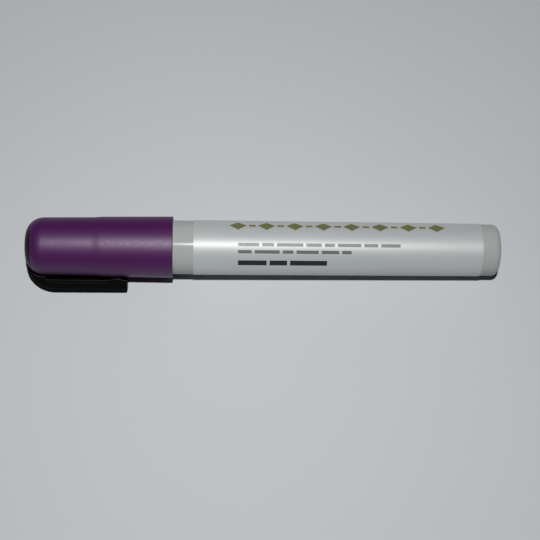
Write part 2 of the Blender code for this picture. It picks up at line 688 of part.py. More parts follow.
make_barrel(barrel_grey)
make_label(label_film)
make_mixing_ball(bright_steel)
make_front_holder(holder_black)
make_valve_body(natural_plastic)
make_valve_stem(natural_plastic)
make_valve_spring(bright_steel)
make_valve_cover(natural_plastic)
make_nib(fibre_white)
make_inner_cap(natural_plastic)
make_cap_shell(cap_violet)
make_clip(clip_black)
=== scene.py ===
"""Looks of the chisel-nib paint marker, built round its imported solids.

The pen lies along X: the tail face is at x = 0 and the cap's end is at -X. Profiles are (along, radius)
points, where along is the distance from the tail face. Angles round the pen start at the top and grow towards
+Y. Lengths are in metres.
"""

from math import acos, asin, atan2, ceil, cos, hypot, pi, radians, sin, sqrt, tan

import bmesh
import bpy
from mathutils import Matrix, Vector


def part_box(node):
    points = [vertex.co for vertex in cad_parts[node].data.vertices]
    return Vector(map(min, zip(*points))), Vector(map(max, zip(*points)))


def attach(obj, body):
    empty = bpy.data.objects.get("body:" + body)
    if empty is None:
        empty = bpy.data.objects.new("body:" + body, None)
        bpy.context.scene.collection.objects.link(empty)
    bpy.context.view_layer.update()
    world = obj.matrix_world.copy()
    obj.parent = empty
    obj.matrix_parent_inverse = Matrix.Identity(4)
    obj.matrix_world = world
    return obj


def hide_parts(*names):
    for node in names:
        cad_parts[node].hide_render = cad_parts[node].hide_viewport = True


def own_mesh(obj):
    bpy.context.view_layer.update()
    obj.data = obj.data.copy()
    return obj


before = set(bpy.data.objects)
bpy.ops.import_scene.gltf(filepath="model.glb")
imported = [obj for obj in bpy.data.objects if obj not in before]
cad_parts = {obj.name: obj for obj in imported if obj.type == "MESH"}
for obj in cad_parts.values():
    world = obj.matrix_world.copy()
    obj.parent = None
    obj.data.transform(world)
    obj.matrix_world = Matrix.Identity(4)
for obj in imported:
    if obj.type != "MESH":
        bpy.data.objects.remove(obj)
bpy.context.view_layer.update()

# Fineness of the surfaces
SEGMENTS = 128
ARC_STEP = radians(6)
SHARP_ANGLE = radians(40)
FLAT_ANGLE = radians(0.5)
EDGE_SEGMENTS = 4
MERGE = 0.000001

# How far a cutting tool reaches past the surface that it cuts
CUT_MARGIN = 0.0010

# Fits, as in the solids
PRESS_GAP = 0.00006
SLIDE_GAP = 0.00010

# Barrel
BARREL_TAIL_RADIUS = 0.00779
BARREL_WALL = 0.0012
BARREL_FLOOR = 0.0016
TAIL_EDGE_RADIUS = 0.0022
FLOOR_FILLET = 0.0020
PLUG_LENGTH = 0.0120
RIM_RADIUS = 0.0003

# Label film and its glued overlap
FILM_THICKNESS = 0.0001
FILM_EDGE = 0.00003
OVERLAP_MIDDLE = radians(190)
OVERLAP_WIDTH = 0.0040
PRINT_HEIGHT = 0.000015
PRINT_DEPTH = 0.00003
PATCH_STEP = 0.0005

# Generic print: rows of plain bars, and a band of lozenges with short bars between them. Each row has an
# angle round the pen, a bar height and the lengths of its bars
PRINT_START = 0.0790
FINE_ROWS = (
    (radians(-15), 0.0010, (0.0062, 0.0035, 0.0078, 0.0046, 0.0030, 0.0070, 0.0041, 0.0058)),
    (radians(-30), 0.0010, (0.0040, 0.0074, 0.0032, 0.0066, 0.0052, 0.0028)),
)
BOLD_ROWS = (
    (radians(-55), 0.0017, (0.0085, 0.0052, 0.0110)),
)
BAR_GAP = 0.0009
BAND_ANGLE = radians(32)
BAND_PITCH = 0.0085
BAND_COUNT = 8
LOZENGE_LENGTH = 0.0052
LOZENGE_HEIGHT = 0.0036
LOZENGE_POINT = 0.0002
DASH_LENGTH = 0.0020
DASH_HEIGHT = 0.0009

# Cap
CAP_WALL = 0.00095
CAP_UPPER_WALL = 0.00115
CAP_DRAFT = 0.0118
CAP_STEP = 0.00016
CAP_STEP_START = 0.0210
CAP_STEP_LENGTH = 0.0030
CAP_STEP_POINTS = 12
CAP_LEDGE = 0.01362
CAP_END_WALL = 0.0013
SHOULDER_RADIUS = 0.0055
DOME_RADIUS = 0.0260
POCKET_CORNER = 0.0009
LINER_AIR = 0.0003
LINER_WALL = 0.0009
LINER_END = 0.0010
COLLAR_LENGTH = 0.0020

# Clip
SPIGOT_RADIUS = 0.0026
NECK_THICKNESS = 0.00058
CLIP_WIDTH = 0.0055
CLIP_GAP = 0.0006
CLIP_DEPTH = 0.00292
CLIP_CORNER_RADIUS = 0.0087
CLIP_TIP_RADIUS = 0.0006
CLIP_ROOT_LENGTH = 0.0062
CLIP_ROOT_GAP = 0.00015
CLIP_BEVEL = 0.0002
CLIP_EDGE = 0.00022
TABLE_GAP = 0.0003
BUMP_FROM_TIP = 0.0034
BUMP_LENGTH = 0.0044
GROOVE_WIDTH = 0.0005
GROOVE_DEPTH = 0.0006
GROOVE_FROM_EDGE = 0.0004
GROOVE_END_ROOM = 0.0005
GROOVE_LIP = 0.0001

# Front holder and nib
HOLDER_WALL = 0.0014
FLANGE_LENGTH = 0.0020
FLANGE_STEP = 0.0003
LAND_LENGTH = 0.0065
CONE_LENGTH = 0.0070
NOSE_LENGTH = 0.0020
NOSE_WALL = 0.0011
NOSE_LIP_RADIUS = 0.0005
GUIDE_LENGTH = 0.0060
SEAL_GROOVES = 2
SEAL_GROOVE_WIDTH = 0.0012
SEAL_GROOVE_DEPTH = 0.0004
SEAL_GROOVE_PITCH = 0.0030
VALVE_DEPTH = 0.0010
NIB_WIDTH = 0.0060
NIB_THICKNESS = 0.0045
NIB_CORNER_RADIUS = 0.0008
NIB_EDGE = 0.0009
NIB_BEVEL = 0.00012
CHISEL_ANGLE = radians(45)
CHISEL_BACK_ANGLE = radians(60)

# Noise: the range of its values that the materials use. All its scales are per metre
NOISE_LOW = 0.3
NOISE_HIGH = 0.7

# Moulded plastic: drift of its colour, share by which its gloss drifts, and grain of the mould
DRIFT_SCALE = 180
DRIFT_STRETCH = (0.5, 1, 1)
GLOSS_SCALE = 900
GLOSS_DRIFT = 0.045
GRAIN_SCALE = 5200
GRAIN_HEIGHT = 0.00002

# Pearl film
FILM_DEEP = (0.388, 0.417, 0.422)
FILM_PALE = (0.408, 0.437, 0.442)
FILM_DRIFT_SCALE = 240
FILM_DRIFT_STRETCH = (0.4, 1, 1)
FILM_ROUGHNESS = (0.52, 0.58)
FILM_GLOSS_SCALE = 1500
FILM_GRAIN = 0.05
FILM_GRAIN_SCALE = 7000
FILM_GRAIN_HEIGHT = 0.00001

# Ink of the print, and how much paler it is where it is thin
INK_THINNING = 1.35
INK_COVER_SCALE = 6000
INK_ROUGHNESS = (0.38, 0.48)
INK_GLOSS_SCALE = 3000

# Fibre of the nib, which runs along it
FIBRE_DEEP = (0.66, 0.63, 0.56)
FIBRE_PALE = (0.84, 0.82, 0.77)
FIBRE_SCALE = 2600
FIBRE_STRETCH = (0.06, 1, 1)
FIBRE_RELIEF = 0.5
FIBRE_HEIGHT = 0.00008

# Steel of the ball and the spring
STEEL_DEEP = (0.52, 0.52, 0.53)
STEEL_PALE = (0.66, 0.66, 0.67)
STEEL_SCALE = 4000
STEEL_STRETCH = (0.3, 1, 1)
STEEL_ROUGHNESS = (0.16, 0.28)

# Table
TABLE_SIZE = 3.0
TABLE_DEEP = (0.474, 0.497, 0.518)
TABLE_PALE = (0.484, 0.507, 0.528)
TABLE_TONE_SCALE = 9

# Camera: high above the pen, from the clip's side, and turned a little to frame the pen
VIEW_ANGLE = radians(22)
CAMERA_DISTANCE = 0.42274
CAMERA_ALONG = 0.08965
CAMERA_TILT = radians(-0.896)
CAMERA_PAN = radians(-2.779)
CAMERA_ROLL = radians(0.487)
PHOTO_SIZE = 540
FOCAL_PIXELS = 1402.6
SENSOR_WIDTH = 36

# Light: a small bright one, higher than the camera and further away, and dim even light from all round
KEY_DISTANCE = 0.60
KEY_ALONG = 0.0878
KEY_FROM_VIEW = radians(13.5)
KEY_TARGET = Vector((-0.085, -0.015, 0))
KEY_SIZE = 0.0195
KEY_SPREAD = radians(120)
KEY_POWER = 1.52
KEY_COLOUR = (1.0, 0.99, 0.98)
ROOM_COLOUR = (0.93, 0.96, 1.0, 1)
ROOM_STRENGTH = 0.018

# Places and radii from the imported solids
barrel_low, barrel_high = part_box("barrel")
label_low, label_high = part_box("label")
cap_low, cap_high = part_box("cap_shell")
clip_low, clip_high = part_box("clip")
liner_low, liner_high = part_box("inner_cap")
nib_low, nib_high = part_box("nib")
BARREL_LENGTH = -barrel_low.x
BARREL_FRONT_RADIUS = barrel_high.z
LABEL_START = -label_high.x
LABEL_END = -label_low.x
LABEL_FRONT_RADIUS = label_high.z
CAP_MOUTH = -cap_high.x
CAP_RIM = -cap_low.x
CAP_MOUTH_RADIUS = cap_high.z
CAP_BORE_RADIUS = CAP_MOUTH_RADIUS - CAP_WALL
CLIP_TIP = -clip_high.x
PEN_END = -clip_low.x
COLLAR_REAR = -liner_high.x
LINER_FRONT = -liner_low.x
NIB_REAR = -nib_high.x
NIB_TIP = -nib_low.x


def barrel_radius(along):
    """Outer radius of the barrel, which widens a little from its tail to its front."""
    share = (along - TAIL_EDGE_RADIUS) / (BARREL_LENGTH - TAIL_EDGE_RADIUS)
    return BARREL_TAIL_RADIUS + (BARREL_FRONT_RADIUS - BARREL_TAIL_RADIUS) * share


def label_radius(along):
    """Outer radius of the label film, which follows the barrel's draft."""
    return LABEL_FRONT_RADIUS + barrel_radius(along) - barrel_radius(LABEL_END)


def cap_radius(along):
    """Outer radius of the cap's side, with its shallow step blended at both ends."""
    share = min(max((along - CAP_MOUTH - CAP_STEP_START) / CAP_STEP_LENGTH, 0), 1)
    blended = share * share * (3 - 2 * share)
    return CAP_MOUTH_RADIUS - CAP_DRAFT * (along - CAP_MOUTH) - CAP_STEP * blended


# Shoulder of the cap, which the head carries on until it runs smoothly into the dome
DOME_CENTRE = PEN_END - DOME_RADIUS
HEAD_SEAT = CAP_RIM + PRESS_GAP
SHOULDER_SIDE_RADIUS = cap_radius(PEN_END - SHOULDER_RADIUS)
SHOULDER_CENTRE = SHOULDER_SIDE_RADIUS - SHOULDER_RADIUS
SHOULDER_FROM_DOME = sqrt((DOME_RADIUS - SHOULDER_RADIUS) ** 2 - SHOULDER_CENTRE**2)
SHOULDER_START = DOME_CENTRE + SHOULDER_FROM_DOME
SHOULDER_END_ANGLE = atan2(SHOULDER_FROM_DOME, SHOULDER_CENTRE)
RIM_ANGLE = asin((CAP_RIM - SHOULDER_START) / SHOULDER_RADIUS)
HEAD_EDGE_ANGLE = asin((HEAD_SEAT - SHOULDER_START) / SHOULDER_RADIUS)
POCKET_END = CAP_RIM - CAP_END_WALL
POCKET_RADIUS = SHOULDER_SIDE_RADIUS - CAP_UPPER_WALL
LINER_RADIUS = POCKET_RADIUS - LINER_AIR
LINER_BORE = LINER_RADIUS - LINER_WALL

# Clip's arm, which leans over until its lower edge is just clear of the table. The table touches the cap's
# mouth and the label's tail end
CLIP_ROOT = PEN_END - CLIP_ROOT_LENGTH
BUMP_CENTRE = CLIP_TIP + BUMP_FROM_TIP
CLIP_INNER_RADIUS = cap_radius(CLIP_TIP) + CLIP_GAP
CLIP_OUTER_RADIUS = CLIP_INNER_RADIUS + CLIP_DEPTH
ROOT_INNER_RADIUS = cap_radius(CLIP_ROOT) + CLIP_ROOT_GAP
ROOT_FILLET = CLIP_INNER_RADIUS - ROOT_INNER_RADIUS
BUMP_HEIGHT = CLIP_INNER_RADIUS - cap_radius(BUMP_CENTRE) - CLIP_ROOT_GAP
TABLE_SLOPE = (CAP_MOUTH_RADIUS - label_radius(LABEL_START)) / (CAP_MOUTH - LABEL_START)
TABLE_DEPTH = CAP_MOUTH_RADIUS + TABLE_SLOPE * (CLIP_TIP - CAP_MOUTH)
CLIP_EDGE_RADIUS = CLIP_OUTER_RADIUS - CLIP_BEVEL
CLIP_EDGE_SIDE = CLIP_WIDTH / 2 - CLIP_BEVEL
CLIP_EDGE_REACH = hypot(CLIP_EDGE_RADIUS, CLIP_EDGE_SIDE)
CLIP_EDGE_DEPTH = TABLE_DEPTH - TABLE_GAP - CLIP_BEVEL
CLIP_LEAN = asin(CLIP_EDGE_DEPTH / CLIP_EDGE_REACH) - atan2(CLIP_EDGE_SIDE, CLIP_EDGE_RADIUS)
CLIP_ANGLE = -(pi / 2 + CLIP_LEAN)
ACROSS = Vector((0, cos(CLIP_ANGLE), -sin(CLIP_ANGLE)))


def at(along, radius, angle):
    """The point of the pen at a distance from the tail, a radius and an angle from the top."""
    return Vector((-along, radius * sin(angle), radius * cos(angle)))


def arc(centre, radius, start, end):
    """An arc as (along, radius) points. Angle 0 points away from the axis, and 90 degrees to the cap."""
    steps = max(2, ceil(abs(end - start) / ARC_STEP))
    points = []
    for i in range(steps + 1):
        angle = start + (end - start) * i / steps
        points.append((centre[0] + radius * sin(angle), centre[1] + radius * cos(angle)))
    return points


def rounded(corners):
    """A closed profile with its corners rounded. Each corner is (along, radius, fillet)."""
    points = []
    count = len(corners)
    for i, (along, radius, fillet) in enumerate(corners):
        corner = Vector((along, radius))
        if not fillet:
            points.append(tuple(corner))
            continue
        back = (Vector(corners[i - 1][:2]) - corner).normalized()
        ahead = (Vector(corners[(i + 1) % count][:2]) - corner).normalized()
        half = acos(max(-1, min(1, back.dot(ahead)))) / 2
        middle = (back + ahead).normalized()
        centre = corner + middle * fillet / sin(half)
        start = corner + back * fillet / tan(half) - centre
        end = corner + ahead * fillet / tan(half) - centre
        first = atan2(start.x, start.y)
        turn = atan2(end.x, end.y) - first
        turn = (turn + pi) % (2 * pi) - pi
        points += arc(tuple(centre), fillet, first, first + turn)
    return points


def shaped(name, shape):
    """An object from a finished bmesh, shaded smooth between its sharp edges."""
    bmesh.ops.recalc_face_normals(shape, faces=shape.faces)
    mesh = bpy.data.meshes.new(name)
    shape.to_mesh(mesh)
    shape.free()
    mesh.shade_smooth()
    mesh.set_sharp_from_angle(angle=SHARP_ANGLE)
    piece = bpy.data.objects.new(name, mesh)
    bpy.context.scene.collection.objects.link(piece)
    return piece


def apply_modifiers(piece):
    """Makes a piece's modifiers part of its mesh."""
    bpy.context.view_layer.update()
    mesh = bpy.data.meshes.new_from_object(piece.evaluated_get(bpy.context.evaluated_depsgraph_get()))
    old = piece.data
    piece.modifiers.clear()
    piece.data = mesh
    bpy.data.meshes.remove(old)


def soften(piece, width):
    """Rounds the sharp edges of a piece."""
    bevel = piece.modifiers.new("edges", "BEVEL")
    bevel.width = width
    bevel.segments = EDGE_SEGMENTS
    bevel.limit_method = "ANGLE"
    bevel.angle_limit = SHARP_ANGLE
    bevel.use_clamp_overlap = False
    apply_modifiers(piece)


def combine(piece, tool, operation):
    """Cuts a tool out of the piece, or joins it on, and takes the tool away."""
    step = piece.modifiers.new(tool.name, "BOOLEAN")
    step.operation = operation
    step.object = tool
    step.solver = "EXACT"
    apply_modifiers(piece)
    old = tool.data
    bpy.data.objects.remove(tool)
    bpy.data.meshes.remove(old)


def even_shading(piece):
    """Keeps flat faces looking flat beside the small rounded ones."""
    piece.data.shade_smooth()
    piece.data.set_sharp_from_angle(angle=SHARP_ANGLE)
    normals = piece.modifiers.new("normals", "WEIGHTED_NORMAL")
    normals.keep_sharp = True
    apply_modifiers(piece)


def flatten_sides(piece, across, half_width):
    """Gives every corner in a piece's two flat sides the direction of its side, so that they look flat."""
    mesh = piece.data
    normals = [corner.vector.copy() for corner in mesh.corner_normals]
    for loop in mesh.loops:
        reach = mesh.vertices[loop.vertex_index].co.dot(across)
        if abs(abs(reach) - half_width) < MERGE:
            normals[loop.index] = across if reach > 0 else -across
    mesh.normals_split_custom_set(normals)


def turned(name, profile):
    """A closed solid turned round the pen's axis. A point with no radius is a pole."""
    shape = bmesh.new()
    rings = []
    for along, radius in profile:
        if radius:
            rings.append([shape.verts.new(at(along, radius, 2 * pi * i / SEGMENTS)) for i in range(SEGMENTS)])
        else:
            rings.append([shape.verts.new(at(along, 0, 0))] * SEGMENTS)
    for ring, following in zip(rings, rings[1:] + rings[:1]):
        if len(set(ring)) == len(set(following)) == 1:
            continue
        for i in range(SEGMENTS):
            j = (i + 1) % SEGMENTS
            corners = dict.fromkeys((ring[i], ring[j], following[j], following[i]))
            shape.faces.new(list(corners))
    return shaped(name, shape)


def skin(shape, loops):
    """Adds a closed solid to a bmesh through loops of points, each with as many points as the next."""
    rings = [[shape.verts.new(point) for point in loop] for loop in loops]
    for ring, following in zip(rings, rings[1:]):
        for i in range(len(ring)):
            j = (i + 1) % len(ring)
            shape.faces.new((ring[i], ring[j], following[j], following[i]))
    shape.faces.new(rings[0])
    shape.faces.new(rings[-1])


def lofted(name, loops):
    """A piece that is one closed solid through loops of points."""
    shape = bmesh.new()
    skin(shape, loops)
    return shaped(name, shape)


def bar_loop(x, thickness, width, corner):
    """A rounded rectangle across the pen: thickness upwards, width sideways."""
    steps = 2 * EDGE_SEGMENTS
    points = []
    for quarter in range(4):
        start = quarter * pi / 2
        side = corner - width / 2 if quarter in (2, 3) else width / 2 - corner
        up = corner - thickness / 2 if quarter in (1, 2) else thickness / 2 - corner
        for i in range(steps + 1):
            angle = start + pi / 2 * i / steps
            points.append(Vector((x, side + corner * sin(angle), up + corner * cos(angle))))
    return points


def dressed(node):
    """A smooth-shaded copy of a node whose shape is already right."""
    shape = bmesh.new()
    shape.from_mesh(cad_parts[node].data)
    bmesh.ops.remove_doubles(shape, verts=shape.verts, dist=MERGE)
    bmesh.ops.dissolve_limit(shape, angle_limit=FLAT_ANGLE, verts=shape.verts, edges=shape.edges)
    return shaped(f"{node}_look", shape)


def steady(length):
    """A length that stays the same over a strip's height."""
    return lambda share: length


def lozenge_length(share):
    """A length that shrinks to a point at both ends of a strip's height."""
    return max(LOZENGE_POINT, LOZENGE_LENGTH * (1 - abs(share)))


def patch(shape, middle, angle, length, height):
    """Adds a thin closed strip to a bmesh that lies on the label, as long as length(share) along the pen.

    Share runs from -1 to 1 over the height round the pen, which is centred on the angle.
    """
    radius = label_radius(middle)
    steps = max(2, ceil(height / PATCH_STEP))
    loops = []
    for i in range(steps + 1):
        share = 2 * i / steps - 1
        half = length(share) / 2
        turn = angle + share * height / 2 / radius
        corners = ((-half, -PRINT_DEPTH), (half, -PRINT_DEPTH), (half, PRINT_HEIGHT), (-half, PRINT_HEIGHT))
        loop = []
        for end, lift in corners:
            along = middle + end
            loop.append(at(along, label_radius(along) + lift, turn))
        loops.append(loop)
    skin(shape, loops)


def give(piece, body, material, replaced=None):
    """Gives a piece its body and its material, and hides the node that it stands for."""
    piece.data.materials.clear()
    piece.data.materials.append(material)
    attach(piece, body)
    if replaced:
        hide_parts(replaced)


class Look:
    """A new material with helpers that add shader nodes to it and link them."""

    def __init__(self, name):
        self.material = bpy.data.materials.new(name)
        self.material.use_nodes = True
        self.tree = self.material.node_tree
        self.shader = self.tree.nodes["Principled BSDF"]

    def adjust(self, **values):
        """Sets sockets of the shader, whose names have spaces for the underscores here."""
        for socket, value in values.items():
            self.shader.inputs[socket.replace("_", " ")].default_value = value

    def link(self, source, target):
        self.tree.links.new(source, target)

    def place(self, stretch):
        """The piece's own coordinates, stretched."""
        coordinates = self.tree.nodes.new("ShaderNodeTexCoord")
        mapping = self.tree.nodes.new("ShaderNodeMapping")
        mapping.inputs["Scale"].default_value = stretch
        self.link(coordinates.outputs["Object"], mapping.inputs["Vector"])
        return mapping.outputs["Vector"]

    def noise(self, scale, detail=2.0, stretch=(1, 1, 1)):
        """A noise pattern, fixed to the piece."""
        texture = self.tree.nodes.new("ShaderNodeTexNoise")
        texture.inputs["Scale"].default_value = scale
        texture.inputs["Detail"].default_value = detail
        self.link(self.place(stretch), texture.inputs["Vector"])
        return texture.outputs["Fac"]

    def spread(self, pattern, low, high):
        """Maps a noise pattern onto a range."""
        node = self.tree.nodes.new("ShaderNodeMapRange")
        node.inputs["From Min"].default_value = NOISE_LOW
        node.inputs["From Max"].default_value = NOISE_HIGH
        node.inputs["To Min"].default_value = low
        node.inputs["To Max"].default_value = high
        self.link(pattern, node.inputs["Value"])
        return node.outputs["Result"]

    def colour_by(self, pattern, deep, pale):
        """Lets the colour run from deep to pale with a noise pattern."""
        node = self.tree.nodes.new("ShaderNodeMix")
        node.data_type = "RGBA"
        node.inputs["A"].default_value = (*deep, 1)
        node.inputs["B"].default_value = (*pale, 1)
        self.link(self.spread(pattern, 0, 1), node.inputs["Factor"])
        self.link(node.outputs["Result"], self.shader.inputs["Base Color"])

    def roughness_by(self, pattern, low, high):
        """Lets the roughness run from low to high with a noise pattern."""
        self.link(self.spread(pattern, low, high), self.shader.inputs["Roughness"])

    def bump_by(self, pattern, strength, height):
        """Raises the surface a little with a noise pattern."""
        node = self.tree.nodes.new("ShaderNodeBump")
        node.inputs["Strength"].default_value = strength
        node.inputs["Distance"].default_value = height
        self.link(pattern, node.inputs["Height"])
        self.link(node.outputs["Normal"], self.shader.inputs["Normal"])


def moulded(name, colour, shift, roughness, grain, **values):
    """Moulded plastic: a faint drift of colour, uneven gloss and the fine grain of the mould."""
    look = Look(name)
    deep = tuple(c * (1 - shift) for c in colour)
    pale = tuple(min(1, c * (1 + shift)) for c in colour)
    look.colour_by(look.noise(DRIFT_SCALE, detail=3.0, stretch=DRIFT_STRETCH), deep, pale)
    gloss = look.noise(GLOSS_SCALE, detail=4.0)
    look.roughness_by(gloss, roughness * (1 - GLOSS_DRIFT), roughness * (1 + GLOSS_DRIFT))
    look.bump_by(look.noise(GRAIN_SCALE, detail=3.0), grain, GRAIN_HEIGHT)
    look.adjust(**values)
    return look.material


def pearl_film():
    """Printed film with a silvery pearl base under a satin varnish."""
    look = Look("pearl_film")
    look.colour_by(look.noise(FILM_DRIFT_SCALE, detail=3.0, stretch=FILM_DRIFT_STRETCH), FILM_DEEP, FILM_PALE)
    look.roughness_by(look.noise(FILM_GLOSS_SCALE, detail=3.0), *FILM_ROUGHNESS)
    look.bump_by(look.noise(FILM_GRAIN_SCALE), FILM_GRAIN, FILM_GRAIN_HEIGHT)
    look.adjust(
        Diffuse_Roughness=0.25,
        Specular_IOR_Level=0.75,
        Coat_Weight=1.0,
        Coat_Roughness=0.43,
        Coat_IOR=1.62,
    )
    return look.material


def print_ink(name, colour):
    """Ink that covers the film a little unevenly."""
    look = Look(name)
    thin = tuple(c * INK_THINNING for c in colour)
    look.colour_by(look.noise(INK_COVER_SCALE), colour, thin)
    look.roughness_by(look.noise(INK_GLOSS_SCALE), *INK_ROUGHNESS)
    return look.material


def bonded_fibre():
    """Off-white fibres that run along the nib."""
    look = Look("bonded_fibre")
    strands = look.noise(FIBRE_SCALE, detail=5.0, stretch=FIBRE_STRETCH)
    look.colour_by(strands, FIBRE_DEEP, FIBRE_PALE)
    look.bump_by(strands, FIBRE_RELIEF, FIBRE_HEIGHT)
    look.adjust(Roughness=0.92, Sheen_Weight=0.15)
    return look.material


def drawn_steel():
    """Bright steel with fine drawing marks."""
    look = Look("drawn_steel")
    marks = look.noise(STEEL_SCALE, detail=3.0, stretch=STEEL_STRETCH)
    look.colour_by(marks, STEEL_DEEP, STEEL_PALE)
    look.roughness_by(marks, *STEEL_ROUGHNESS)
    look.adjust(Metallic=1.0)
    return look.material


def pale_table():
    """The plain table, whose tone drifts very slightly."""
    look = Look("table_look")
    look.colour_by(look.noise(TABLE_TONE_SCALE), TABLE_DEEP, TABLE_PALE)
    look.adjust(Roughness=0.7)
    return look.material


def make_barrel(material):
    """The tube that holds the ink, with its rounded tail edge and its closed floor."""
    bore_tail = BARREL_TAIL_RADIUS - BARREL_WALL
    bore_front = BARREL_FRONT_RADIUS - BARREL_WALL
    profile = [
        *arc((BARREL_LENGTH - RIM_RADIUS, BARREL_FRONT_RADIUS - RIM_RADIUS), RIM_RADIUS, pi / 2, 0),
        *arc((TAIL_EDGE_RADIUS, BARREL_TAIL_RADIUS - TAIL_EDGE_RADIUS), TAIL_EDGE_RADIUS, 0, -pi / 2),
        (0, 0),
        (BARREL_FLOOR, 0),
        *arc((BARREL_FLOOR + FLOOR_FILLET, bore_tail - FLOOR_FILLET), FLOOR_FILLET, -pi / 2, 0),
        (BARREL_LENGTH - PLUG_LENGTH, bore_front),
        (BARREL_LENGTH, bore_front),
    ]
    give(turned("barrel_tube", profile), "barrel", material, "barrel")


def make_label(material):
    """The film round the barrel, with softened outer edges."""
    front = LABEL_FRONT_RADIUS
    tail = label_radius(LABEL_START)
    profile = rounded([
        (LABEL_END, front, FILM_EDGE),
        (LABEL_START, tail, FILM_EDGE),
        (LABEL_START, tail - FILM_THICKNESS, 0),
        (LABEL_END, front - FILM_THICKNESS, 0),
    ])
    give(turned("label_wrap", profile), "barrel", material, "label")


def make_overlap(material):
    """The strip where the film laps over its own start, on the pen's underside."""
    shape = bmesh.new()
    middle = (LABEL_START + LABEL_END) / 2
    length = LABEL_END - LABEL_START - 2 * FILM_EDGE
    patch(shape, middle, OVERLAP_MIDDLE, steady(length), OVERLAP_WIDTH)
    give(shaped("label_overlap", shape), "barrel", material)


def make_rows(name, rows, material):
    """Rows of plain bars, from the cap's end of the label towards its tail."""
    shape = bmesh.new()
    for angle, height, lengths in rows:
        place = PRINT_START
        for length in lengths:
            patch(shape, place - length / 2, angle, steady(length), height)
            place -= length + BAR_GAP
    give(shaped(name, shape), "barrel", material)


def make_band(lozenge_material, dash_material):
    """A row of lozenges with a short bar between each two."""
    lozenges = bmesh.new()
    dashes = bmesh.new()
    for i in range(BAND_COUNT):
        place = PRINT_START - BAND_PITCH * i
        patch(lozenges, place, BAND_ANGLE, lozenge_length, LOZENGE_HEIGHT)
        if i:
            patch(dashes, place + BAND_PITCH / 2, BAND_ANGLE, steady(DASH_LENGTH), DASH_HEIGHT)
    give(shaped("label_lozenges", lozenges), "barrel", lozenge_material)
    give(shaped("label_dashes", dashes), "barrel", dash_material)


def make_cap(material):
    """The outer cap, with its shallow step, its rounded shoulder and the hole for the head's spigot."""
    ledge = CAP_MOUTH + CAP_LEDGE
    hole = SPIGOT_RADIUS + PRESS_GAP
    step_end = CAP_MOUTH + CAP_STEP_START + CAP_STEP_LENGTH
    step_points = [step_end - CAP_STEP_LENGTH * i / CAP_STEP_POINTS for i in range(CAP_STEP_POINTS + 1)]
    pocket_corner = (POCKET_END - POCKET_CORNER, POCKET_RADIUS - POCKET_CORNER)
    profile = [
        *arc((SHOULDER_START, SHOULDER_CENTRE), SHOULDER_RADIUS, RIM_ANGLE, 0),
        *[(along, cap_radius(along)) for along in step_points],
        *arc((CAP_MOUTH + RIM_RADIUS, CAP_MOUTH_RADIUS - RIM_RADIUS), RIM_RADIUS, 0, -pi / 2),
        *arc((CAP_MOUTH + RIM_RADIUS, CAP_BORE_RADIUS + RIM_RADIUS), RIM_RADIUS, -pi / 2, -pi),
        (ledge, CAP_BORE_RADIUS),
        (ledge, cap_radius(ledge) - CAP_UPPER_WALL),
        *arc(pocket_corner, POCKET_CORNER, 0, pi / 2),
        (POCKET_END, hole),
        (CAP_RIM, hole),
    ]
    give(turned("cap_body", profile), "cap", material, "cap_shell")


def make_liner(material):
    """The inner cap, seen up the mouth of the cap."""
    collar_front = COLLAR_REAR + COLLAR_LENGTH
    collar_radius = CAP_BORE_RADIUS - PRESS_GAP
    floor = LINER_FRONT - LINER_END
    mouth = (COLLAR_REAR + RIM_RADIUS, LINER_BORE + RIM_RADIUS)
    profile = [
        (LINER_FRONT, 0),
        *arc((LINER_FRONT - POCKET_CORNER, LINER_RADIUS - POCKET_CORNER), POCKET_CORNER, pi / 2, 0),
        (collar_front, LINER_RADIUS),
        (collar_front, collar_radius),
        (COLLAR_REAR, collar_radius),
        *arc(mouth, RIM_RADIUS, -pi / 2, -pi),
        *arc((floor - POCKET_CORNER, LINER_BORE - POCKET_CORNER), POCKET_CORNER, 0, pi / 2),
        (floor, 0),
    ]
    give(turned("cap_liner", profile), "cap", material, "inner_cap")


